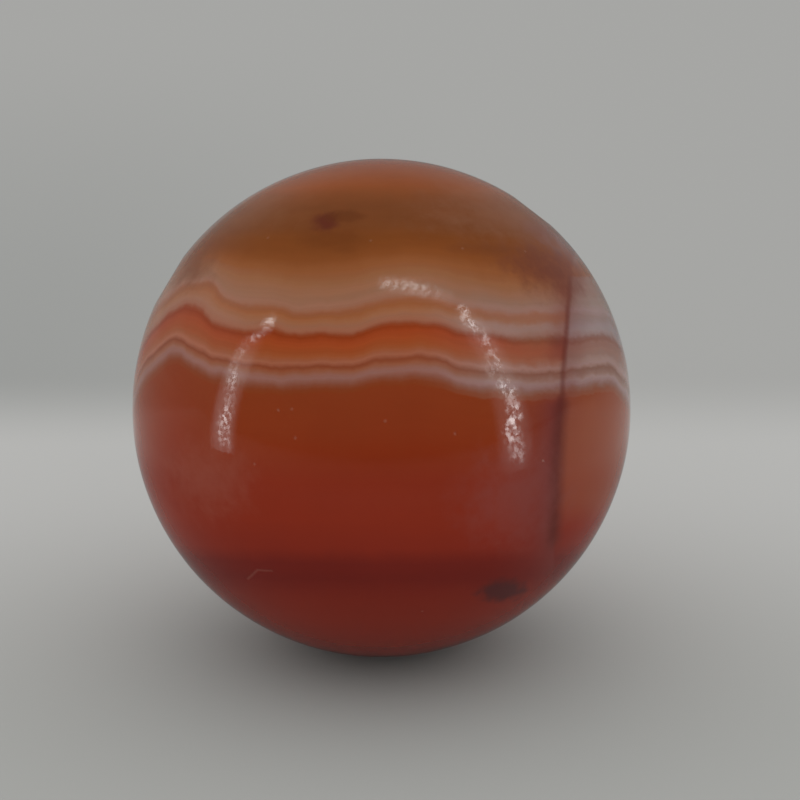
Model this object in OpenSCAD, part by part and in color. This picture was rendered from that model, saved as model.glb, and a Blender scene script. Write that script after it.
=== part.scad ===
// Agate marble: one solid ball of banded carnelian agate, ground and polished by hand.
// The origin is the centre of the ball, +Z is up, and lengths are in millimetres.

/* [Ball] */
// Diameter of the ball
ball_d = 25; // [12:0.5:50]

/* [Ground flats] */
// Width of the flat that the grinding left high on the right shoulder
right_flat_w = 2.6; // [0.5:0.1:5]
// Width of the flat that the grinding left on the left shoulder
left_flat_w = 3; // [0.5:0.1:5]

/* [Hidden] */

stone_colour = "#a04a28";
ball_r = ball_d / 2;

// Where each flat faces: azimuth from +X towards +Y, then elevation above the equator, in degrees
right_flat_at = [15, 51];
left_flat_at = [175, 31];

// The grinding tool reaches this far past a flat, outwards and all round it
tool_margin = 1;

$fn = 180;

// Distance from the centre of the ball to a flat of the given width
function flat_height(width) = sqrt(pow(ball_r, 2) - pow(width / 2, 2));

// What the grinder takes off: the cap of the ball that stands above one flat
module ground_cap(at, width) {
    cap_h = ball_r - flat_height(width);
    rotate([0, 90 - at[1], at[0]])
        translate([0, 0, flat_height(width)])
            cylinder(h = cap_h + tool_margin, d = width + 2 * tool_margin);
}

// The whole marble: a true ball, less the caps ground off its two shoulders
module marble() {
    color(stone_colour)
        difference() {
            sphere(d = ball_d);
            ground_cap(right_flat_at, right_flat_w);
            ground_cap(left_flat_at, left_flat_w);
        }
}

marble();
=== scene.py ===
"""Looks of the agate marble: one polished ball of banded carnelian agate on a plain pale floor.

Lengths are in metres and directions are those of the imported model: +Z is up, and the pale bands
cross the side that faces -Y. The pattern of the stone is worked out on axes of its own, where the
radius of the ball is 1: across is +X, rise is square to the bands, and depth runs into the stone.
A height is a place in the stack of layers: the rise, with the folds of the layers taken out.
"""

import logging
import math
from collections.abc import Callable, Sequence
from dataclasses import dataclass
from enum import Enum
from functools import partial, reduce

import bpy
from mathutils import Matrix, Vector


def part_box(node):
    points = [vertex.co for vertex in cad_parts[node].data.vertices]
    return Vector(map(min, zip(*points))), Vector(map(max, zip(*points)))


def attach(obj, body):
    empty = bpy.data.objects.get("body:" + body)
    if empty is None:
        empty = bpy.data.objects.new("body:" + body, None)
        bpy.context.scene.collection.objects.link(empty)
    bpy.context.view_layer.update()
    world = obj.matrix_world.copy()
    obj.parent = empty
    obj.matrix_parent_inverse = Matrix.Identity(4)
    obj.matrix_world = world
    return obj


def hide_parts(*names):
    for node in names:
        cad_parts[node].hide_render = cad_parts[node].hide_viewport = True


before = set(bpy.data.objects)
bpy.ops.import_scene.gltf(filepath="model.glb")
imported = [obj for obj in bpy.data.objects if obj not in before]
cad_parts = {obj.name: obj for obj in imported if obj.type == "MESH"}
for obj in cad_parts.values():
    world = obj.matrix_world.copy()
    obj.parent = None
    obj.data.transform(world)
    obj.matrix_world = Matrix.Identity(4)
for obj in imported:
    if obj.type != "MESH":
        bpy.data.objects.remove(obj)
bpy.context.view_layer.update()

LOG = logging.getLogger("agate_marble")

Colour = tuple[float, float, float, float]
Place = tuple[float, float, float]
Span = tuple[float, float]
Knots = tuple[tuple[float, float], ...]
Socket = bpy.types.NodeSocket
Feed = Socket | float | Sequence[float]

MICRON = 1e-6
MILLIMETRE = 1e-3


def paint(red: float, green: float, blue: float) -> Colour:
    """Turns a colour from a paint chart into the linear colour that a shader takes.

    Args:
        red: Red, from 0 to 255.
        green: Green, from 0 to 255.
        blue: Blue, from 0 to 255.

    Returns:
        Linear red, green and blue, and an alpha of 1.
    """

    def linear(part: float) -> float:
        """Takes the display curve off one part of a colour."""
        share = part / 255
        return share / 12.92 if share <= 0.04045 else ((share + 0.055) / 1.055) ** 2.4

    return linear(red), linear(green), linear(blue), 1.0


class Sum(Enum):
    """What a Math node does with its inputs."""

    ADD = "ADD"
    TAKE = "SUBTRACT"
    TIMES = "MULTIPLY"
    OVER = "DIVIDE"
    SIZE = "ABSOLUTE"
    MOST = "MAXIMUM"
    LEAST = "MINIMUM"
    SCALE_ADD = "MULTIPLY_ADD"


class Coat(Enum):
    """How one colour goes over another."""

    COVER = "MIX"
    MULTIPLY = "MULTIPLY"


class Pace(Enum):
    """How a level goes from low to high."""

    SMOOTH = "SMOOTHSTEP"
    EVEN = "LINEAR"


class Bench:
    """The node tree of one shader, with short ways to wire what a finish needs."""

    def __init__(self, tree: bpy.types.NodeTree) -> None:
        """Clears the tree.

        Args:
            tree: The tree to wire.
        """
        self.tree = tree
        tree.nodes.clear()

    def add(self, kind: str, **settings: object) -> bpy.types.Node:
        """Adds a node.

        Args:
            kind: Blender's name for the node.
            settings: Properties to set on it.

        Returns:
            The new node.
        """
        node = self.tree.nodes.new(kind)
        for name, value in settings.items():
            setattr(node, name, value)
        return node

    def feed(self, socket: Socket, source: Feed) -> None:
        """Links a socket to another one, or sets its value.

        Args:
            socket: The input to feed.
            source: Another socket, or a plain value.
        """
        if isinstance(source, bpy.types.NodeSocket):
            self.tree.links.new(source, socket)
        else:
            socket.default_value = source

    def feed_named(self, node: bpy.types.Node, sources: dict[str, Feed]) -> None:
        """Feeds inputs of a node by their names."""
        for name, source in sources.items():
            self.feed(node.inputs[name], source)

    def wire(self, kind: str, *parts: Feed, **settings: object) -> Socket:
        """Adds a node and feeds its inputs in order.

        Args:
            kind: Blender's name for the node.
            parts: What its first inputs are fed.
            settings: Properties to set on it.

        Returns:
            Its first output.
        """
        node = self.add(kind, **settings)
        for socket, part in zip(node.inputs, parts):
            self.feed(socket, part)
        return node.outputs[0]

    def end(self, kind: str, shader: bpy.types.Node) -> None:
        """Adds the node that ends the tree, and feeds it the shader."""
        self.feed(self.add(kind).inputs[0], shader.outputs[0])

    def sum(self, what: Sum, *parts: Feed) -> Socket:
        """Works out a sum of its parts, taken in order."""
        return self.wire("ShaderNodeMath", *parts, operation=what.value)

    def plus(self, *parts: Feed) -> Socket:
        """Adds its parts up, from left to right."""
        return reduce(partial(self.sum, Sum.ADD), parts)

    def times(self, *parts: Feed) -> Socket:
        """Multiplies its parts, from left to right."""
        return reduce(partial(self.sum, Sum.TIMES), parts)

    def most(self, *parts: Feed) -> Socket:
        """Finds the greatest of its parts."""
        return reduce(partial(self.sum, Sum.MOST), parts)

    def less(self, value: Feed, part: Feed) -> Socket:
        """Takes a part from a value."""
        return self.sum(Sum.TAKE, value, part)

    def scaled(self, value: Feed, scale: Feed, base: Feed) -> Socket:
        """Scales a value and adds a base to it."""
        return self.sum(Sum.SCALE_ADD, value, scale, base)

    def fade(
        self,
        value: Feed,
        start: Feed,
        end: Feed,
        low: float = 0.0,
        high: float = 1.0,
        pace: Pace = Pace.SMOOTH,
    ) -> Socket:
        """Goes from one level to another as a value runs between two marks, and no further.

        Args:
            value: What is followed.
            start: Where the low level ends.
            end: Where the high level begins; it may lie below start.
            low: The level at start.
            high: The level at end.
            pace: How it goes.

        Returns:
            The level.
        """
        marks = (value, start, end, low, high)
        return self.wire("ShaderNodeMapRange", *marks, interpolation_type=pace.value)

    def join(self, x: Feed, y: Feed, z: Feed) -> Socket:
        """Makes a vector of three parts."""
        return self.wire("ShaderNodeCombineXYZ", x, y, z)

    def split(self, vector: Socket) -> tuple[Socket, Socket, Socket]:
        """Takes a vector apart into its three parts."""
        node = self.add("ShaderNodeSeparateXYZ")
        self.feed(node.inputs[0], vector)
        return tuple(node.outputs)

    def place(self, vector: Socket, location: Place, turn: Place, scale: Place) -> Socket:
        """Scales a vector along each axis, turns it, in radians, and then moves it."""
        return self.wire("ShaderNodeMapping", vector, location, turn, scale, vector_type="POINT")

    def length(self, vector: Socket) -> Socket:
        """Measures a vector."""
        node = self.add("ShaderNodeVectorMath", operation="LENGTH")
        self.feed(node.inputs[0], vector)
        return node.outputs["Value"]

    def grain(
        self, vector: Socket, scale: float, detail: float = 2.0, rough: float = 0.5
    ) -> Socket:
        """Adds a noise pattern.

        Args:
            vector: Where the pattern is read.
            scale: How many cells there are to one unit.
            detail: How many finer patterns are laid over the first.
            rough: How strong each finer pattern is.

        Returns:
            The pattern, about 0.5 on average.
        """
        node = self.add("ShaderNodeTexNoise", noise_dimensions="3D")
        sources = {"Vector": vector, "Scale": scale, "Detail": detail, "Roughness": rough}
        self.feed_named(node, sources)
        return node.outputs[0]

    def swing(
        self, vector: Socket, scale: float, detail: float = 2.0, rough: float = 0.5
    ) -> Socket:
        """Adds a noise pattern as grain does, but about 0 on average."""
        return self.less(self.grain(vector, scale, detail, rough), 0.5)

    def sheets(self, parts: Sequence[Socket], along: float, through: float, rough: float) -> Socket:
        """Adds a noise pattern in sheets; the last of the parts is the one through them."""
        scaled = (self.times(part, scale) for part, scale in zip(parts, (along, along, through)))
        return self.swing(self.join(*scaled), 1.0, 4.0, rough)

    def cover(self, share: Feed, under: Feed, over: Feed, coat: Coat = Coat.COVER) -> Socket:
        """Lays one colour over another.

        Args:
            share: How much of the upper colour shows, from 0 to 1.
            under: The lower colour.
            over: The upper colour.
            coat: How the upper colour acts on the lower.

        Returns:
            The colour that comes of it.
        """
        node = self.add("ShaderNodeMix", data_type="RGBA", blend_type=coat.value)
        for index, part in ((0, share), (6, under), (7, over)):
            self.feed(node.inputs[index], part)
        return node.outputs[2]

    def shade(self, colour: Socket, level: Socket) -> Socket:
        """Multiplies a colour by one level, so that it gets lighter or darker."""
        return self.cover(1.0, colour, self.join(level, level, level), Coat.MULTIPLY)

    def profile(self, value: Socket, knots: Knots, reach: float) -> Socket:
        """Reads a height off a drawn profile.

        Args:
            value: Where to read it, from -1 to 1.
            knots: Points of the profile, each a place from -1 to 1 and a height.
            reach: The greatest height, up or down, that the profile may have.

        Returns:
            The height.
        """
        node = self.add("ShaderNodeFloatCurve")
        curve = node.mapping.curves[0]
        drawn = [((at + 1) / 2, 0.5 + height / (2 * reach)) for at, height in knots]
        curve.points[0].location, curve.points[1].location = drawn[0], drawn[-1]
        for point in drawn[1:-1]:
            curve.points.new(*point)
        for point in curve.points:
            point.handle_type = "AUTO_CLAMPED"
        node.mapping.update()
        self.feed(node.inputs["Value"], self.scaled(value, 0.5, 0.5))
        return self.scaled(node.outputs[0], 2 * reach, -reach)


def new_material(name: str) -> tuple[bpy.types.Material, Bench]:
    """Makes a material, with a bench for its shader."""
    material = bpy.data.materials.new(name)
    material.use_nodes = True
    return material, Bench(material.node_tree)


@dataclass(frozen=True)
class StoneAxes:
    """The axes that the pattern of the stone is worked out on."""

    radius: float
    tilt: float = math.radians(18)

    def to_frame(self, across: float, depth: float, rise: float) -> Vector:
        """Finds the point of the ball's surface in a direction of the stone.

        Args:
            across: Part of the direction along +X.
            depth: Part into the stone.
            rise: Part square to the bands.

        Returns:
            The point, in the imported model's frame.
        """
        lean, stand = math.sin(self.tilt), math.cos(self.tilt)
        way = Vector((across, depth * stand + rise * lean, rise * stand - depth * lean))
        return way.normalized() * self.radius

    def wire(self, bench: Bench) -> Socket:
        """Wires the place on the ball, read on these axes, into a shader."""
        seat = bench.add("ShaderNodeTexCoord").outputs["Object"]
        return bench.place(seat, (0.0, 0.0, 0.0), (self.tilt, 0.0, 0.0), (1 / self.radius,) * 3)


@dataclass(frozen=True)
class Layer:
    """One layer of the agate: its name, its height in the stack and its colour."""

    name: str
    height: float
    colour: Colour


@dataclass(frozen=True)
class LayerStack:
    """Layers that follow each other, and the heights between which they show."""

    lowest: float
    highest: float
    layers: tuple[Layer, ...]

    def wire(self, bench: Bench, height: Socket) -> Socket:
        """Wires the colour of the layer at a height.

        Args:
            bench: The shader.
            height: The height in the stack.

        Returns:
            The colour.
        """
        thickness = self.highest - self.lowest
        label = f"{self.layers[0].name} to {self.layers[-1].name}"
        node = bench.add("ShaderNodeValToRGB", label=label)
        share = bench.sum(Sum.OVER, bench.less(height, self.lowest), thickness)
        bench.feed(node.inputs[0], share)
        ramp = node.color_ramp
        ramp.interpolation = "LINEAR"
        ramp.elements.remove(ramp.elements[-1])
        for index, layer in enumerate(self.layers):
            at = (layer.height - self.lowest) / thickness
            stop = ramp.elements.new(at) if index else ramp.elements[0]
            stop.position, stop.color = at, layer.colour
        return node.outputs[0]


def stack(
    lowest: float, highest: float, *rows: tuple[str, float, float, float, float]
) -> LayerStack:
    """Makes a stack from rows of a layer's name, its height and its colour on a paint chart."""
    layers = (Layer(name, height, paint(*chart)) for name, height, *chart in rows)
    return LayerStack(lowest, highest, tuple(layers))


BODY = stack(
    -1.0,
    0.06,
    ("foot", -0.90, 106, 35, 24),
    ("red_foot", -0.80, 107, 34, 22),
    ("maroon_foot", -0.72, 103, 31, 20),
    ("maroon", -0.65, 93, 25, 18),
    ("maroon_top", -0.585, 96, 26, 18),
    ("red_shoulder", -0.53, 113, 33, 19),
    ("red_body", -0.42, 119, 36, 18),
    ("clear_red", -0.28, 118, 34, 11),
    ("orange_brown", -0.10, 121, 47, 22),
    ("body_top", 0.05, 121, 51, 24),
)

BANDS = stack(
    0.04,
    0.52,
    ("under_lilac", 0.050, 121, 53, 24),
    ("lilac_shadow", 0.066, 119, 55, 29),
    ("lilac_foot", 0.080, 121, 66, 46),
    ("lilac", 0.106, 132, 90, 80),
    ("lilac_top", 0.118, 133, 88, 75),
    ("lilac_edge", 0.130, 132, 80, 58),
    ("brown_foot", 0.140, 127, 69, 45),
    ("brown_line", 0.149, 121, 61, 38),
    ("pink_foot", 0.157, 133, 74, 52),
    ("pink_line", 0.168, 145, 87, 64),
    ("pink_edge", 0.180, 141, 79, 51),
    ("light_orange", 0.190, 139, 73, 41),
    ("orange", 0.205, 139, 67, 33),
    ("deep_orange", 0.226, 141, 64, 30),
    ("bright_orange", 0.240, 142, 62, 29),
    ("red_edge", 0.251, 137, 58, 26),
    ("dark_red_line", 0.263, 127, 51, 22),
    ("white_foot", 0.272, 130, 61, 33),
    ("white_band", 0.288, 140, 88, 66),
    ("white_top", 0.306, 140, 93, 70),
    ("white_edge", 0.322, 140, 90, 61),
    ("tan_band", 0.340, 136, 81, 49),
    ("tan_top", 0.356, 136, 82, 55),
    ("pink_haze", 0.372, 139, 94, 73),
    ("haze_line", 0.384, 139, 96, 76),
    ("haze", 0.404, 135, 94, 72),
    ("haze_top", 0.440, 137, 92, 67),
    ("amber_haze", 0.470, 135, 88, 58),
    ("amber_edge", 0.494, 132, 81, 50),
    ("amber", 0.520, 130, 77, 44),
)

MILKY_BANDS = stack(
    0.04,
    0.52,
    ("under_lilac", 0.050, 124, 66, 45),
    ("lilac_shadow", 0.068, 120, 70, 52),
    ("lilac_foot", 0.083, 122, 84, 72),
    ("lilac", 0.102, 132, 104, 101),
    ("lilac_top", 0.114, 136, 111, 107),
    ("lilac_edge", 0.126, 129, 100, 91),
    ("brown_line", 0.149, 117, 83, 71),
    ("pink_foot", 0.158, 133, 102, 93),
    ("pink_line", 0.169, 142, 114, 108),
    ("pink_edge", 0.184, 137, 110, 102),
    ("pale_orange", 0.200, 131, 101, 91),
    ("orange", 0.226, 131, 95, 84),
    ("orange_top", 0.245, 128, 91, 80),
    ("red_line", 0.262, 119, 79, 67),
    ("white_foot", 0.271, 122, 88, 79),
    ("white_band", 0.284, 135, 111, 107),
    ("white_top", 0.302, 137, 120, 118),
    ("white_edge", 0.316, 135, 116, 115),
    ("tan_band", 0.334, 130, 109, 104),
    ("tan_top", 0.354, 129, 105, 99),
    ("pink_haze", 0.372, 138, 114, 111),
    ("haze", 0.402, 132, 110, 101),
    ("haze_top", 0.442, 129, 101, 91),
    ("amber_haze", 0.480, 131, 101, 90),
    ("amber", 0.520, 132, 100, 88),
)

CROWN = stack(
    0.48,
    1.0,
    ("amber_foot", 0.520, 130, 77, 43),
    ("amber", 0.560, 121, 67, 31),
    ("amber_brown", 0.600, 113, 61, 26),
    ("golden_brown", 0.640, 111, 60, 25),
    ("grey_brown", 0.690, 106, 59, 29),
    ("warm_brown", 0.770, 107, 60, 31),
    ("red_edge", 0.820, 116, 64, 33),
    ("orange_red", 0.858, 128, 68, 34),
    ("crown", 0.900, 129, 69, 38),
    ("crown_top", 1.000, 124, 62, 34),
)


@dataclass(frozen=True)
class FoldedLine:
    """One thin line of the stack: its height there, and how high it runs from side to side."""

    height: float
    knots: Knots


BROWN_LINE = FoldedLine(
    0.148,
    (
        (-1.0, 0.03), (-0.91, 0.19), (-0.874, 0.213), (-0.857, 0.231), (-0.788, 0.265),
        (-0.737, 0.24), (-0.655, 0.196), (-0.545, 0.166), (-0.499, 0.155), (-0.438, 0.154),
        (-0.362, 0.145), (-0.258, 0.15), (-0.094, 0.154), (0.009, 0.177), (0.068, 0.177),
        (0.127, 0.182), (0.216, 0.17), (0.29, 0.145), (0.365, 0.132), (0.456, 0.128),
        (0.502, 0.123), (0.626, 0.125), (0.674, 0.132), (0.876, 0.153), (0.912, 0.14),
        (0.951, 0.109), (1.0, 0.04),
    ),
)

WHITE_LINE = FoldedLine(
    0.277,
    (
        (-1.0, 0.13), (-0.917, 0.283), (-0.845, 0.348), (-0.811, 0.375), (-0.777, 0.386),
        (-0.744, 0.397), (-0.61, 0.312), (-0.547, 0.302), (-0.485, 0.29), (-0.439, 0.297),
        (-0.333, 0.278), (-0.124, 0.277), (0.009, 0.311), (0.098, 0.316), (0.217, 0.311),
        (0.306, 0.285), (0.442, 0.271), (0.503, 0.261), (0.644, 0.269), (0.741, 0.266),
        (0.863, 0.287), (0.939, 0.246), (0.974, 0.217), (1.0, 0.15),
    ),
)

TAN_LINE = FoldedLine(
    0.354,
    (
        (-1.0, 0.198), (-0.93, 0.334), (-0.83, 0.429), (-0.74, 0.473), (-0.67, 0.478),
        (-0.6, 0.415), (-0.55, 0.388), (-0.4, 0.37), (-0.3, 0.349), (-0.2, 0.35), (-0.1, 0.363),
        (0.0, 0.39), (0.1, 0.401), (0.2, 0.396), (0.3, 0.368), (0.4, 0.353), (0.5, 0.34),
        (0.6, 0.349), (0.8, 0.356), (0.9, 0.347), (1.0, 0.21),
    ),
)

RIGHT_MILK = (
    (-1.0, 0.8), (0.06, 0.88), (0.1, 0.84), (0.13, 0.74), (0.165, 0.68), (0.195, 0.32),
    (0.25, 0.26), (0.265, 0.34), (0.285, 0.52), (0.315, 0.54), (0.335, 0.28), (0.36, 0.26),
    (0.38, 0.44), (0.4, 0.36), (0.44, 0.14), (0.5, 0.0), (1.0, 0.0),
)

# How strong the painted shadow close to the fracture is, by height in the stack.
NEAR_PAINTED_SHADOW = (
    (-1.0, 0.44), (0.03, 0.44), (0.08, 0.12), (0.17, 0.04), (0.2, 0.42), (0.25, 0.5),
    (0.29, 0.38), (0.33, 0.38), (0.42, 0.4), (0.5, 0.4), (0.62, 0.2), (0.8, 0.0), (1.0, 0.0),
)


@dataclass(frozen=True)
class Stain:
    """A soft-edged mark in the stone, or a painted shadow or reflection laid over it."""

    name: str
    place: Place
    reach: Place
    colour: Colour
    share: float
    core: float = 0.0
    edge: float = 1.15

    def wire(self, bench: Bench, where: Socket, ragged: Socket, colour: Socket) -> Socket:
        """Wires the mark over a colour.

        Args:
            bench: The shader.
            where: The place in the stone.
            ragged: A pattern that breaks the mark's edge.
            colour: The colour it lies on.

        Returns:
            The colour with the mark on it.
        """
        scale = tuple(1 / part for part in self.reach)
        move = tuple(-at * part for at, part in zip(self.place, scale))
        off = bench.length(bench.place(where, move, (0.0, 0.0, 0.0), scale))
        share = bench.fade(bench.plus(off, ragged), self.edge, self.core, high=self.share)
        share.node.label = self.name
        return bench.cover(share, colour, self.colour)


STAINS = (
    Stain("rosy_haze", (0.50, -0.50, 0.75), (0.44, 0.60, 0.17), paint(134, 96, 78), 0.30),
    # Painted reflection: a pale haze along the rim at the upper right.
    Stain("rim_haze", (0.720, -0.20, 0.640), (0.130, 0.35, 0.110), paint(122, 104, 106), 0.42),
    Stain("tan_veil", (0.590, -0.76, 0.250), (0.150, 0.30, 0.055), paint(110, 76, 52), 0.30),
    # Painted reflection: the glow round the foot of the left lamp strip's reflection.
    Stain("left_glow", (-0.640, -0.62, -0.270), (0.220, 0.50, 0.180), paint(136, 84, 70), 0.28),
    Stain("left_haze", (-0.48, -0.50, 0.77), (0.24, 0.50, 0.12), paint(132, 88, 60), 0.24),
    Stain("left_shade", (-0.745, -0.36, 0.565), (0.160, 0.40, 0.140), paint(98, 50, 24), 0.66),
    # Painted shadow on the near side of the fracture, in three marks: a cloud, a broad shadow and a
    # close one.
    Stain("fracture_cloud", (0.600, -0.56, 0.560), (0.260, 0.40, 0.095), paint(97, 55, 42), 0.56),
    Stain("fracture_shadow", (0.645, -0.52, 0.510), (0.195, 0.40, 0.125), paint(94, 47, 34), 0.78),
    Stain("fracture_stain", (0.712, -0.555, 0.440), (0.048, 0.18, 0.078), paint(97, 46, 32), 0.55),
    Stain("purple_cloud", (0.640, -0.36, 0.690), (0.150, 0.25, 0.085), paint(104, 66, 66), 0.34),
    Stain("pink_mist", (0.500, -0.75, -0.330), (0.270, 0.50, 0.240), paint(114, 66, 62), 0.42),
    # Painted shadow close beside the fracture, in the orange band.
    Stain("bruise", (0.672, -0.70, 0.245), (0.055, 0.14, 0.038), paint(88, 36, 30), 0.34),
    Stain("dark_vein", (0.390, -0.70, 0.598), (0.210, 0.20, 0.034), paint(96, 52, 30), 0.28, 0.35),
    Stain("dark_ring", (-0.190, -0.75, 0.640), (0.150, 0.20, 0.060), paint(94, 48, 20), 0.40, 0.35),
    Stain("spot", (-0.210, -0.68, 0.705), (0.060, 0.14, 0.050), paint(86, 38, 26), 0.88, 0.35),
    Stain("spot_tail", (-0.140, -0.67, 0.726), (0.085, 0.14, 0.032), paint(88, 45, 20), 0.60, 0.35),
    Stain("blot", (0.468, -0.540, -0.706), (0.124, 0.20, 0.056), paint(60, 30, 30), 0.85, 0.35),
)


@dataclass(frozen=True)
class HealedFracture:
    """A crack that the stone grew shut, seen as a dark line with painted shadow on each side.

    The side beyond it, towards +X, is paler. An offset is how far a place lies from the crack,
    and it is more than 0 beyond the crack.
    """

    slope_rise: float = -0.062
    slope_depth: float = -0.09
    seat: float = 0.742
    waver: float = 0.016
    edge: Span = (-0.012, 0.014)
    near_side: Span = (0.25, -0.10)
    into_body: Span = (0.08, 0.02)
    top_end: Span = (0.55, 0.46)
    low_end: Span = (-0.58, -0.48)
    half_width: float = 0.011
    more_in_body: float = 0.018
    paleness: float = 0.38
    core: Colour = paint(83, 32, 25)
    painted_shadow: Colour = paint(101, 43, 38)
    pale_body: Colour = paint(130, 82, 60)
    pale_crown: Colour = paint(130, 108, 106)

    def offset(self, bench: Bench, where: Socket) -> Socket:
        """Wires the offset of a place from the crack.

        Args:
            bench: The shader.
            where: The place in the stone.

        Returns:
            The offset.
        """
        across, depth, rise = bench.split(where)
        off = bench.scaled(rise, self.slope_rise, across)
        off = bench.scaled(depth, self.slope_depth, off)
        waver = bench.grain(bench.join(0.3, depth, rise), 5.0)
        return bench.scaled(waver, self.waver, bench.less(off, self.seat + self.waver / 2))

    def beyond(self, bench: Bench, off: Socket) -> Socket:
        """Wires how far a place is beyond the crack, from 0 to 1."""
        return bench.fade(off, *self.edge)

    def distance(self, across: float, depth: float, rise: float) -> float:
        """Measures how far a place lies from the crack's own plane."""
        return across + self.slope_rise * rise + self.slope_depth * depth - self.seat

    def wire(self, bench: Bench, where: Socket, height: Socket, colour: Socket) -> Socket:
        """Wires the fracture, with its painted shadow, over the layers.

        Args:
            bench: The shader.
            where: The place in the stone.
            height: The height in the stack of layers.
            colour: The colour of the layers.

        Returns:
            The colour with the fracture in it.
        """
        _, depth, rise = bench.split(where)
        off = self.offset(bench, where)
        near = bench.fade(depth, *self.near_side)
        in_body = bench.fade(height, *self.into_body)
        in_bands = bench.times(bench.fade(height, 0.04, 0.07), bench.fade(height, 0.62, 0.50))
        paling = bench.times(
            bench.scaled(in_bands, -self.paleness, self.paleness),
            bench.fade(rise, -0.475, -0.34),
            bench.most(bench.fade(rise, 0.08, -0.14, 0.66), bench.fade(rise, 0.40, 0.55, 0.0, 1.5)),
        )
        paling = bench.times(bench.times(self.beyond(bench, off), near), paling)
        pale = bench.cover(bench.fade(height, 0.10, 0.40), self.pale_body, self.pale_crown)
        colour = bench.cover(paling, colour, pale)
        # Painted shadow beside the crack: broad and close on the near side, and narrower beyond it.
        broad = bench.times(bench.fade(off, -0.24, -0.02), bench.fade(off, 0.012, -0.004))
        broad = bench.times(broad, bench.scaled(in_body, 0.48, 0.10))
        close = bench.times(
            bench.fade(off, -0.095, 0.0),
            bench.fade(off, 0.010, -0.004),
            bench.profile(height, NEAR_PAINTED_SHADOW, 1.0),
        )
        beyond = bench.times(
            bench.fade(off, 0.11, 0.0),
            bench.fade(off, -0.004, 0.010),
            bench.fade(rise, -0.22, 0.05, low=0.12, high=0.42),
            bench.fade(rise, 0.62, 0.48),
        )
        painted_shadow = bench.times(bench.plus(broad, bench.plus(close, beyond)), near)
        colour = bench.cover(bench.times(painted_shadow, bench.fade(rise, -0.72, -0.50)), colour, self.painted_shadow)
        uneven = bench.swing(bench.join(0.7, depth, rise), 14.0, 3.0, 0.6)
        reach = bench.scaled(in_body, self.more_in_body, self.half_width)
        reach = bench.scaled(uneven, 0.010, reach)
        line = bench.fade(bench.sum(Sum.OVER, bench.sum(Sum.SIZE, off), reach), 1.5, 0.0)
        ends = bench.times(bench.fade(rise, *self.top_end), bench.fade(rise, *self.low_end))
        dark = bench.scaled(uneven, 0.5, bench.scaled(in_body, 0.26, 0.56))
        return bench.cover(bench.times(line, ends, near, dark), colour, self.core)


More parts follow.
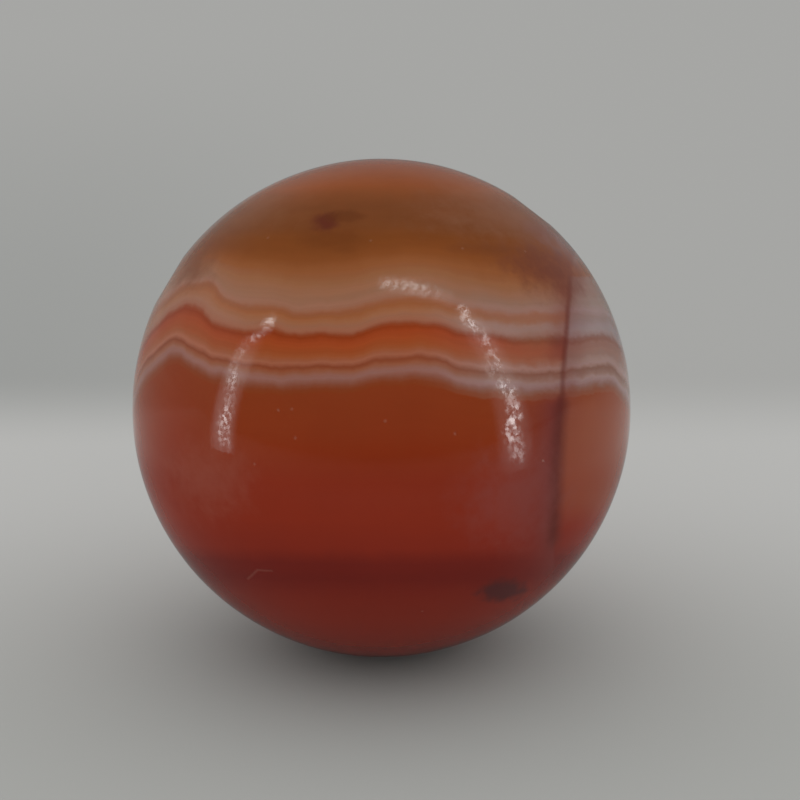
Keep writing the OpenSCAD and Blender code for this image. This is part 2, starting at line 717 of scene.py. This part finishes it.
@dataclass(frozen=True)
class AgateFinish:
    """Polished banded carnelian agate."""

    axes: StoneAxes
    fracture: HealedFracture
    lines: tuple[FoldedLine, FoldedLine, FoldedLine] = (BROWN_LINE, WHITE_LINE, TAN_LINE)
    line_reach: float = 0.5
    calm_below: Span = (0.04, -0.28)
    calm_above: Span = (0.46, 0.72)
    far_side: Span = (-0.25, 0.45)
    far_roll: float = 0.42
    ripple: float = 0.022
    jagged_from: Span = (0.25, 0.72)
    jags: Span = (0.010, 0.030)
    into_bands: Span = (0.046, 0.056)
    into_crown: Span = (0.500, 0.520)
    milky_right: Span = (0.10, 0.46)
    milky_left: Span = (-0.40, -0.60)
    worn_tone: Colour = paint(176, 130, 112)
    worn_share: float = 0.34
    worn_roughness: float = 0.35
    glow_reach: float = 0.4 * MILLIMETRE
    peel_height: float = 1.8 * MICRON

    def heights(self, bench: Bench, where: Socket) -> Socket:
        """Wires the height of a place in the stack of layers, with the folds taken out.

        Args:
            bench: The shader.
            where: The place in the stone.

        Returns:
            The height.
        """
        across, depth, rise = bench.split(where)
        low, middle, top = (
            bench.profile(across, line.knots, self.line_reach) for line in self.lines
        )
        at_low, at_middle, at_top = (line.height for line in self.lines)
        height = bench.plus(
            bench.sum(Sum.LEAST, bench.less(rise, low), 0.0),
            bench.most(bench.less(rise, top), 0.0),
            at_low,
            bench.fade(rise, low, middle, 0.0, at_middle - at_low, Pace.EVEN),
            bench.fade(rise, middle, top, 0.0, at_top - at_middle, Pace.EVEN),
        )
        for line, at, calm in ((low, at_low, self.calm_below), (top, at_top, self.calm_above)):
            fold = bench.times(bench.less(line, at), bench.fade(rise, *calm))
            height = bench.plus(height, fold)
        roll = bench.swing(where, 1.5, 2.0, 0.45)
        roll = bench.times(roll, bench.fade(depth, *self.far_side, high=self.far_roll))
        height = bench.plus(height, roll)
        ripple = bench.swing(bench.join(across, depth, bench.times(rise, 0.4)), 13.0)
        height = bench.scaled(ripple, self.ripple, height)
        jag = bench.swing(bench.join(across, bench.times(depth, 0.3), rise), 24.0, 3.0, 0.6)
        jag = bench.times(jag, bench.fade(across, *self.jagged_from, *self.jags))
        return bench.plus(height, jag)

    def milkiness(self, bench: Bench, where: Socket, height: Socket) -> Socket:
        """Wires how milky the bands are: on the right, the left, beyond the fracture, behind.

        Args:
            bench: The shader.
            where: The place in the stone.
            height: The height in the stack of layers.

        Returns:
            The share of the milky bands.
        """
        across, depth, _ = bench.split(where)
        beyond = self.fracture.beyond(bench, self.fracture.offset(bench, where))
        patches = bench.fade(bench.grain(where, 1.9), 0.45, 0.62, high=0.6)
        return bench.most(
            bench.times(
                bench.fade(across, *self.milky_right), bench.profile(height, RIGHT_MILK, 1.0)
            ),
            bench.fade(across, *self.milky_left, high=0.10),
            bench.times(beyond, bench.fade(depth, 0.35, -0.10)),
            bench.times(patches, bench.fade(depth, -0.05, 0.35)),
        )

    def layer_colour(self, bench: Bench, where: Socket, height: Socket) -> Socket:
        """Wires the colour of the layers, with their fine laminations and clouds.

        Args:
            bench: The shader.
            where: The place in the stone.
            height: The height in the stack of layers.

        Returns:
            The colour.
        """
        across, depth, _ = bench.split(where)
        body, bands, milky, crown = (
            layers.wire(bench, height) for layers in (BODY, BANDS, MILKY_BANDS, CROWN)
        )
        bands = bench.cover(self.milkiness(bench, where, height), bands, milky)
        colour = bench.cover(bench.fade(height, *self.into_bands), body, bands)
        colour = bench.cover(bench.fade(height, *self.into_crown), colour, crown)
        parts = (across, depth, height)
        laminae = bench.sheets(parts, 0.9, 48.0, 0.62)
        in_bands = bench.times(bench.fade(height, 0.06, 0.13), bench.fade(height, 0.56, 0.42))
        laminae = bench.times(laminae, bench.scaled(in_bands, 0.22, 0.08))
        streaks = bench.sheets(parts, 3.0, 11.0, 0.6)
        streaks = bench.times(streaks, bench.fade(height, 0.45, 0.60, low=0.03, high=0.30))
        clouds = bench.scaled(bench.swing(where, 2.6, 3.0), 0.14, 1.0)
        return bench.shade(colour, bench.plus(clouds, bench.plus(laminae, streaks)))

    def dress(self, piece: bpy.types.Object) -> None:
        """Makes the material and gives it to a piece.

        Args:
            piece: The piece to dress.
        """
        material, bench = new_material("banded_agate")
        where = self.axes.wire(bench)
        height = self.heights(bench, where)
        colour = self.layer_colour(bench, where, height)
        colour = self.fracture.wire(bench, where, height, colour)
        ragged = bench.scaled(bench.grain(where, 16.0, 3.0, 0.6), 1.1, -0.55)
        for stain in STAINS:
            colour = stain.wire(bench, where, ragged, colour)
        worn = bench.add("ShaderNodeAttribute", attribute_name="worn").outputs["Fac"]
        colour = bench.cover(bench.times(worn, self.worn_share), colour, self.worn_tone)
        rough = bench.scaled(bench.grain(where, 3.2, 4.0, 0.6), 0.06, 0.03)
        peel = bench.add("ShaderNodeBump")
        grain = bench.grain(where, 46.0, 1.0)
        bench.feed_named(peel, {"Strength": 1.0, "Distance": self.peel_height, "Height": grain})
        skin = bench.add("ShaderNodeBsdfPrincipled", subsurface_method="RANDOM_WALK")
        sources = {
            "Base Color": colour,
            "Roughness": bench.scaled(worn, self.worn_roughness, rough),
            "Normal": peel.outputs[0],
            "Subsurface Weight": 0.18,
            "Subsurface Radius": (1.0, 0.38, 0.22),
            "Subsurface Scale": self.glow_reach,
            "IOR": 1.54,
            "Specular IOR Level": 0.20,
        }
        bench.feed_named(skin, sources)
        bench.end("ShaderNodeOutputMaterial", skin)
        piece.data.materials.clear()
        piece.data.materials.append(material)


Test = Callable[[Vector], bool]


def choose(piece: bpy.types.Object, wanted: Test) -> int:
    """Selects the vertices of a piece that pass a test, and nothing else.

    Args:
        piece: The piece, in object mode.
        wanted: The test of a vertex's place.

    Returns:
        How many vertices were selected.
    """
    mesh = piece.data
    picked = [wanted(vertex.co) for vertex in mesh.vertices]
    mesh.vertices.foreach_set("select", picked)
    for parts in (mesh.edges, mesh.polygons):
        parts.foreach_set("select", [all(picked[i] for i in part.vertices) for part in parts])
    return sum(picked)


def within(places: Sequence[Vector], reach: float) -> Test:
    """Makes a test of whether a point is within reach of any of some places."""
    return lambda point: any((point - place).length < reach for place in places)


def edit(piece: bpy.types.Object, work: Callable[[], object]) -> None:
    """Runs one edit-mode operation on what is selected of a piece.

    Args:
        piece: The piece to edit.
        work: The operation.
    """
    bpy.context.view_layer.objects.active = piece
    bpy.ops.object.mode_set(mode="EDIT")
    bpy.ops.mesh.select_mode(type="VERT")
    work()
    bpy.ops.object.mode_set(mode="OBJECT")


def modify(piece: bpy.types.Object, kind: str, **settings: object) -> None:
    """Gives a piece a modifier and applies it.

    Args:
        piece: The piece to change.
        kind: Blender's name for the modifier.
        settings: Properties to set on it, in order.
    """
    bpy.context.view_layer.objects.active = piece
    modifier = piece.modifiers.new(kind.lower(), kind)
    for name, value in settings.items():
        setattr(modifier, name, value)
    bpy.ops.object.modifier_apply(modifier=modifier.name)


@dataclass(frozen=True)
class Flat:
    """A shallow flat that the grinding left: where it faces, in degrees, and its width."""

    azimuth: float
    elevation: float
    width: float

    def facing(self) -> Vector:
        """Finds the direction that the flat faces."""
        turn, lift = math.radians(self.azimuth), math.radians(self.elevation)
        level = math.cos(lift)
        return Vector((math.cos(turn) * level, math.sin(turn) * level, math.sin(lift)))


@dataclass
class AgateBall:
    """The ball: a true sphere, ground, chipped and scratched as the stone is."""

    radius: float
    axes: StoneAxes
    fracture: HealedFracture
    rounds: int = 7
    fine_reach: float = 0.34 * MILLIMETRE
    fine_cuts: int = 3
    swell_size: float = 5 * MILLIMETRE
    swell_depth: float = 28 * MICRON
    flats: tuple[Flat, ...] = (
        Flat(15, 51, 2.6 * MILLIMETRE),
        Flat(175, 31, 3.0 * MILLIMETRE),
    )
    pit_core: float = 0.05 * MILLIMETRE
    pit_depth: float = 22 * MICRON
    pit_reach: float = 0.10 * MILLIMETRE
    pits: tuple[Place, ...] = (
        (-0.434, -0.623, 0.651), (-0.040, -0.775, 0.631), (0.307, -0.736, 0.603),
        (0.553, -0.579, 0.600), (-0.384, -0.923, -0.008), (-0.334, -0.943, -0.004),
        (0.013, -0.999, -0.049), (0.607, -0.769, -0.200), (-0.321, -0.940, -0.112),
        (-0.477, -0.854, -0.210), (0.272, -0.958, -0.097), (0.154, -0.607, -0.779),
        (0.813, -0.571, 0.110), (0.210, 0.930, 0.300), (-0.560, 0.780, -0.280),
        (-0.880, 0.180, -0.440),
    )
    scratch: tuple[Place, ...] = (
        (-0.516, -0.550, -0.657),
        (-0.475, -0.627, -0.618),
        (-0.420, -0.663, -0.620),
    )
    scratch_step: float = 0.06 * MILLIMETRE
    scratch_core: float = 0.04 * MILLIMETRE
    scratch_depth: float = 14 * MICRON
    scratch_reach: float = 0.09 * MILLIMETRE
    groove_edge: float = 0.006
    groove_core: float = 0.0012
    groove_depth: float = 5 * MICRON
    groove_reach: float = 0.06 * MILLIMETRE
    groove_runs: tuple[Span, ...] = ((-0.56, 0.50), (-0.50, 0.44), (-0.42, 0.36))
    worn_reach: float = 0.085 * MILLIMETRE
    scratch_wear: float = 0.45

    def pit_spots(self) -> list[Vector]:
        """Lists the places of the pits on the surface."""
        return [self.axes.to_frame(*pit) for pit in self.pits]

    def scratch_spots(self) -> list[Vector]:
        """Lists places on the surface that follow each other closely along the scratch."""
        line = [self.axes.to_frame(*point) for point in self.scratch]
        spots = []
        for start, end in zip(line, line[1:]):
            steps = max(1, round((end - start).length / self.scratch_step))
            for step in range(steps + 1):
                spots.append(start.lerp(end, step / steps).normalized() * self.radius)
        return spots

    def stone_place(self, point: Vector) -> Place:
        """Reads a point of the frame on the stone's axes, with the radius as 1."""
        lean, stand = math.sin(self.axes.tilt), math.cos(self.axes.tilt)
        x, y, z = point / self.radius
        return x, y * stand - z * lean, y * lean + z * stand

    def score_fracture(self, piece: bpy.types.Object) -> None:
        """Cuts edges along the fracture, where its hairline groove will run.

        Args:
            piece: The ball.
        """
        slopes = (1.0, self.fracture.slope_depth, self.fracture.slope_rise)
        out = self.axes.to_frame(*slopes).normalized()
        for side in (-self.groove_edge, 0.0, self.groove_edge):
            seat = out * (self.fracture.seat + side) / math.hypot(*slopes) * self.radius
            edit(
                piece,
                lambda: (
                    bpy.ops.mesh.select_all(action="SELECT"),
                    bpy.ops.mesh.bisect(plane_co=seat, plane_no=out),
                ),
            )

    def refine(self, piece: bpy.types.Object) -> None:
        """Gives the small marks faces fine enough to be cut in.

        Args:
            piece: The ball.
        """
        choose(piece, within(self.pit_spots() + self.scratch_spots(), self.fine_reach))
        edit(piece, lambda: bpy.ops.mesh.subdivide(number_cuts=self.fine_cuts))
        ball = {"cast_type": "SPHERE", "factor": 1.0, "use_radius_as_size": False}
        modify(piece, "CAST", **ball, size=self.radius)

    def grind(self, piece: bpy.types.Object) -> None:
        """Leaves the slow unevenness of hand grinding, then the flats.

        Args:
            piece: The ball.
        """
        swell = bpy.data.textures.new("hand_grinding", "CLOUDS")
        swell.noise_scale, swell.noise_depth = self.swell_size, 1
        depth = {"strength": -self.swell_depth, "mid_level": 0.0}
        modify(piece, "DISPLACE", texture=swell, texture_coords="LOCAL", **depth)
        for flat in self.flats:
            facing = flat.facing()
            level = math.sqrt(self.radius**2 - (flat.width / 2) ** 2)
            if not choose(piece, lambda point: point.dot(facing) > level):
                continue
            axes = facing.to_track_quat("Z", "Y").to_matrix()
            edit(
                piece,
                lambda: bpy.ops.transform.resize(
                    value=(1.0, 1.0, 0.0),
                    orient_type="LOCAL",
                    orient_matrix=axes,
                    orient_matrix_type="LOCAL",
                    constraint_axis=(False, False, True),
                    center_override=facing * level,
                ),
            )

    def press(self, piece: bpy.types.Object, wanted: Test, depth: float, reach: float) -> None:
        """Presses part of the surface in, towards the middle of the ball.

        Args:
            piece: The ball.
            wanted: The test of which vertices go the whole way.
            depth: How far they go.
            reach: How far round them the surface follows.
        """
        if not choose(piece, wanted):
            return
        edit(
            piece,
            lambda: bpy.ops.transform.resize(
                value=(1 - depth / self.radius,) * 3,
                center_override=(0.0, 0.0, 0.0),
                use_proportional_edit=True,
                proportional_edit_falloff="SMOOTH",
                proportional_size=reach,
            ),
        )

    def in_groove(self, low: float, high: float) -> Test:
        """Makes a test of whether a point is on the fracture's line, between two rises."""

        def test(point: Vector) -> bool:
            """Tells whether a point is on that part of the line."""
            across, depth, rise = self.stone_place(point)
            off = abs(self.fracture.distance(across, depth, rise))
            return off < self.groove_core and depth < 0.0 and low < rise < high

        return test

    def mark(self, piece: bpy.types.Object) -> None:
        """Presses in the pits, the scratch and the fracture's groove, and notes where it is worn.

        Args:
            piece: The ball.
        """
        pits, scratch = self.pit_spots(), self.scratch_spots()
        self.press(piece, within(pits, self.pit_core), self.pit_depth, self.pit_reach)
        on_scratch = within(scratch, self.scratch_core)
        self.press(piece, on_scratch, self.scratch_depth, self.scratch_reach)
        for run in self.groove_runs:
            self.press(piece, self.in_groove(*run), self.groove_depth, self.groove_reach)
        worn = piece.data.attributes.new("worn", "FLOAT", "POINT")
        for vertex in piece.data.vertices:
            by_pit, by_scratch = (
                1.0 - min((vertex.co - place).length for place in places) / self.worn_reach
                for places in (pits, scratch)
            )
            worn.data[vertex.index].value = max(0.0, by_pit, self.scratch_wear * by_scratch)

    def build(self) -> bpy.types.Object:
        """Makes the ball.

        Returns:
            The finished piece, with its place in its mesh.
        """
        bpy.ops.object.select_all(action="DESELECT")
        bpy.ops.mesh.primitive_ico_sphere_add(subdivisions=self.rounds, radius=self.radius)
        piece = bpy.context.active_object
        piece.name = piece.data.name = "agate_ball"
        self.score_fracture(piece)
        self.refine(piece)
        self.grind(piece)
        self.mark(piece)
        edit(
            piece,
            lambda: (
                bpy.ops.mesh.select_all(action="SELECT"),
                bpy.ops.mesh.quads_convert_to_tris(),
                bpy.ops.mesh.normals_make_consistent(inside=False),
            ),
        )
        bpy.ops.object.select_all(action="DESELECT")
        piece.select_set(True)
        bpy.context.view_layer.objects.active = piece
        bpy.ops.object.shade_smooth()
        return piece


@dataclass(frozen=True)
class LampStrip:
    """A row of small lamps on a dimmer board, hung between two ends, which shows in the polish.

    Widths across the strip are shares of its width, and places along it are shares of its length.
    """

    name: str
    start: Place
    end: Place
    wide: float
    lamp_power: float
    board_power: float
    board_end: Span
    lamp_wide: float = 0.20
    sparkle: float = 44.0
    spark_levels: Span = (0.06, 3.3)
    stray: float = 0.16
    head: float = 0.0
    tail: float = 0.86
    wander: Knots = ((-1.0, 0.0), (0.0, 0.0), (1.0, 0.0))
    wander_reach: float = 0.25
    shine: Knots = ((-1.0, 1.0), (0.0, 1.0), (1.0, 1.0))
    shine_reach: float = 2.0

    def wire(self, bench: Bench, long: float) -> None:
        """Wires the row of lamps and the board.

        Args:
            bench: The lamp's shader.
            long: The length of the strip.
        """
        side, along, _ = bench.split(bench.add("ShaderNodeNewGeometry").outputs["Parametric"])
        off = bench.less(side, 0.5)
        place = bench.scaled(along, 2.0, -1.0)
        path = bench.profile(place, self.wander, self.wander_reach)
        shine = bench.profile(place, self.shine, self.shine_reach)
        waver = bench.swing(bench.join(bench.times(along, 20.0), long * 100, 0.0), 1.0)
        strayed = bench.scaled(waver, self.stray, bench.less(off, path))
        row = bench.fade(bench.sum(Sum.SIZE, strayed), self.lamp_wide, 0.02)
        cells = (bench.times(along, self.sparkle), bench.times(off, 11.0), self.wide * 900)
        sparks = bench.grain(bench.join(*cells), 1.0, 2.0, 0.6)
        sparks = bench.fade(sparks, 0.47, 0.60, *self.spark_levels)
        ends = bench.times(
            bench.fade(along, self.head, self.head + 0.13), bench.fade(along, 1.0, self.tail)
        )
        row = bench.times(row, sparks, bench.times(ends, shine))
        foot = bench.fade(along, self.head - 0.05, self.head + 0.12)
        board = bench.times(
            bench.fade(bench.sum(Sum.SIZE, off), 0.5, 0.20, high=self.board_power),
            bench.times(bench.fade(along, *self.board_end), foot),
        )
        glow = bench.add("ShaderNodeEmission")
        bench.feed(glow.inputs["Strength"], bench.scaled(row, self.lamp_power, board))
        bench.end("ShaderNodeOutputLight", glow)

    def light(self, aim: Vector) -> None:
        """Hangs the strip.

        Args:
            aim: The point that it faces.
        """
        start, end = Vector(self.start), Vector(self.end)
        long = (end - start).length
        lamp = bpy.data.lights.new(self.name, "AREA")
        lamp.shape = "RECTANGLE"
        lamp.size, lamp.size_y = self.wide, long
        lamp.energy = math.pi * math.pi * long * self.wide
        lamp.use_nodes = True
        self.wire(Bench(lamp.node_tree), long)
        rig = bpy.data.objects.new(self.name, lamp)
        bpy.context.collection.objects.link(rig)
        rig.location = middle = (start + end) / 2
        up = (end - start).normalized()
        way = middle - aim
        back = (way - way.project(up)).normalized()
        rig.rotation_mode = "QUATERNION"
        rig.rotation_quaternion = Matrix((up.cross(back), up, back)).transposed().to_quaternion()
        rig.visible_camera = rig.visible_diffuse = rig.visible_transmission = False


STRIPS = (
    LampStrip(
        name="left_strip",
        start=(-0.0745, -0.027, -0.034),
        end=(-0.0745, -0.027, 0.081),
        wide=0.022,
        lamp_power=1.9,
        board_power=0.66,
        board_end=(0.80, 0.56),
        lamp_wide=0.29,
        sparkle=55.0,
        head=0.145,
        tail=0.93,
        wander=(
            (-1.0, 0.16), (-0.6, 0.12), (-0.46, 0.03), (-0.28, 0.06), (-0.06, 0.0), (0.28, -0.16),
            (0.48, -0.03), (0.64, 0.09), (0.78, 0.08), (1.0, -0.05),
        ),
        shine=(
            (-1.0, 0.5), (-0.6, 0.3), (-0.48, 0.9), (-0.3, 0.95), (-0.2, 0.35), (-0.12, 0.3),
            (0.0, 0.8), (0.09, 0.3), (0.19, 0.1), (0.28, 0.25), (0.38, 0.1), (0.52, 0.6),
            (0.64, 0.4), (0.76, 1.9), (0.88, 0.5), (1.0, 0.0),
        ),
    ),
    LampStrip(
        name="right_strip",
        start=(0.0365, -0.027, -0.010),
        end=(0.0365, -0.027, 0.060),
        wide=0.015,
        lamp_power=1.6,
        board_power=0.42,
        board_end=(1.0, 0.75),
        lamp_wide=0.27,
        tail=0.97,
        wander=(
            (-1.0, 0.07), (-0.83, 0.03), (-0.64, -0.06), (-0.49, 0.09), (-0.23, 0.0),
            (-0.06, -0.05), (0.06, 0.03), (0.23, 0.07), (0.4, 0.06), (0.58, -0.02), (0.8, 0.08),
            (1.0, 0.13),
        ),
        shine=(
            (-1.0, 0.7), (-0.88, 1.1), (-0.78, 0.7), (-0.64, 1.9), (-0.46, 1.2), (-0.39, 0.6),
            (-0.31, 1.3), (-0.16, 0.2), (-0.06, 1.3), (0.12, 0.5), (0.24, 0.8), (0.38, 0.4),
            (0.54, 1.3), (1.0, 0.9),
        ),
    ),
    LampStrip(
        name="top_strip",
        start=(-0.003, -0.027, 0.081),
        end=(0.040, -0.027, 0.070),
        wide=0.016,
        lamp_power=1.2,
        board_power=0.22,
        board_end=(1.0, 0.95),
        lamp_wide=0.40,
        tail=0.50,
    ),
)


@dataclass
class Studio:
    """The floor, the even light and the lamps that show in the polish."""

    floor_level: float
    floor_half: float = 2.0
    front_tone: Colour = paint(160, 161, 158)
    near_tone: Colour = paint(174, 174, 172)
    far_tone: Colour = paint(158, 158, 156)
    far_shade: Colour = paint(147, 148, 146)
    far_edge: Span = (30 * MILLIMETRE, 46 * MILLIMETRE)
    bounce_tone: Colour = (0.86, 0.86, 0.86, 1.0)
    even_light: Colour = (1.12, 1.12, 1.12, 1.0)
    backdrop: Colour = paint(164, 164, 162)
    wall_tone: Colour = (0.25, 0.25, 0.25, 1.0)
    ceiling_tone: Colour = (0.10, 0.10, 0.10, 1.0)
    mirrored_dark: Colour = (0.03, 0.03, 0.03, 1.0)
    strips: tuple[LampStrip, ...] = STRIPS

    def lay_floor(self) -> bpy.types.Object:
        """Lays the floor.

        Returns:
            The floor.
        """
        bpy.ops.object.select_all(action="DESELECT")
        level = (0.0, 0.0, self.floor_level)
        bpy.ops.mesh.primitive_plane_add(size=2 * self.floor_half, location=level)
        floor = bpy.context.active_object
        floor.name = "pale_floor"
        material, bench = new_material("matt_paper")
        side, back, _ = bench.split(bench.add("ShaderNodeTexCoord").outputs["Object"])
        tone = bench.cover(bench.fade(back, -0.015, 0.025), self.front_tone, self.near_tone)
        shaded = bench.cover(bench.fade(back, 0.04, 0.17), self.far_shade, self.far_tone)
        far = bench.cover(bench.fade(side, -0.026, 0.012), shaded, self.far_tone)
        tone = bench.cover(bench.fade(back, *self.far_edge), tone, far)
        ray = bench.add("ShaderNodeLightPath").outputs
        to_left = bench.fade(side, -0.012, -0.032, low=0.47, high=0.24)
        # Seen only in reflections, the floor is darker in front, at the back on the left, and in a
        # ring round the ball, where it is painted shade.
        dim = bench.most(
            bench.fade(back, -0.020, -0.220),
            bench.times(bench.fade(back, 0.040, 0.090), to_left),
            bench.fade(bench.length(bench.join(side, back, 0.0)), 0.042, 0.026, high=0.42),
        )
        dim = bench.times(dim, ray["Is Glossy Ray"])
        tone = bench.cover(dim, tone, self.mirrored_dark)
        seen = bench.most(ray["Is Camera Ray"], ray["Is Glossy Ray"], ray["Is Transmission Ray"])
        paper = bench.add("ShaderNodeBsdfDiffuse")
        bench.feed(paper.inputs["Color"], bench.cover(seen, self.bounce_tone, tone))
        bench.end("ShaderNodeOutputMaterial", paper)
        floor.data.materials.append(material)
        return floor

    def hang_sky(self) -> None:
        """Makes the even light, and the room that the polish mirrors."""
        world = bpy.data.worlds.new("light_tent")
        bpy.context.scene.world = world
        world.use_nodes = True
        bench = Bench(world.node_tree)
        across, back, up = bench.split(bench.add("ShaderNodeTexCoord").outputs["Generated"])
        ahead = bench.most(bench.times(back, -1.0), 0.02)
        side = bench.sum(Sum.OVER, across, ahead)
        rise = bench.sum(Sum.OVER, up, ahead)
        mouth = bench.times(
            bench.fade(side, -4.1, -3.4),
            bench.fade(side, 2.0, 1.7),
            bench.fade(rise, 4.1, 3.4),
            bench.fade(back, 0.0, -0.05),
        )
        walls = bench.cover(bench.fade(up, 0.30, 0.75), self.wall_tone, self.ceiling_tone)
        mirrored = bench.cover(mouth, walls, self.mirrored_dark)
        ray = bench.add("ShaderNodeLightPath").outputs
        colour = bench.cover(ray["Is Glossy Ray"], self.even_light, mirrored)
        colour = bench.cover(ray["Is Camera Ray"], colour, self.backdrop)
        sky = bench.add("ShaderNodeBackground")
        bench.feed(sky.inputs["Color"], colour)
        bench.end("ShaderNodeOutputWorld", sky)
        world.cycles.sampling_method = "NONE"

    def light(self) -> None:
        """Sets up the whole studio."""
        self.lay_floor()
        self.hang_sky()
        for strip in self.strips:
            strip.light(Vector((0.0, 0.0, 0.0)))


@dataclass(frozen=True)
class Viewpoint:
    """Where the camera stands, and what it is aimed at."""

    far: float = 150 * MILLIMETRE
    elevation: float = math.radians(18)
    field_of_view: float = math.radians(15.27)
    aim_right: float = 0.925 * MILLIMETRE
    aim_up: float = 0.392 * MILLIMETRE

    def set_up(self) -> None:
        """Makes the camera and gives it to the scene."""
        back = Vector((0.0, -math.cos(self.elevation), math.sin(self.elevation)))
        up = Vector((0.0, math.sin(self.elevation), math.cos(self.elevation)))
        aim = Vector((self.aim_right, 0.0, 0.0)) + up * self.aim_up
        lens = bpy.data.cameras.new("camera")
        lens.sensor_fit = "HORIZONTAL"
        lens.lens = lens.sensor_width / 2 / math.tan(self.field_of_view / 2)
        lens.clip_start, lens.clip_end = 0.005, 20.0
        camera = bpy.data.objects.new("camera", lens)
        bpy.context.collection.objects.link(camera)
        camera.location = back * self.far
        camera.rotation_mode = "QUATERNION"
        camera.rotation_quaternion = (aim - camera.location).to_track_quat("-Z", "Y")
        bpy.context.scene.camera = camera


def main() -> None:
    """Builds the marble and its studio."""
    logging.basicConfig(level=logging.INFO, format="%(name)s: %(message)s")
    bpy.context.scene.view_settings.view_transform = "Standard"
    low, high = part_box("marble")
    radius = min(high - low) / 2
    axes = StoneAxes(radius)
    fracture = HealedFracture()
    Viewpoint().set_up()
    Studio(floor_level=low.z).light()
    ball = AgateBall(radius, axes, fracture).build()
    AgateFinish(axes, fracture).dress(ball)
    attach(ball, "root")
    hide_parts("marble")
    LOG.info("%s: %d faces", ball.name, len(ball.data.polygons))


if __name__ == "__main__":
    main()
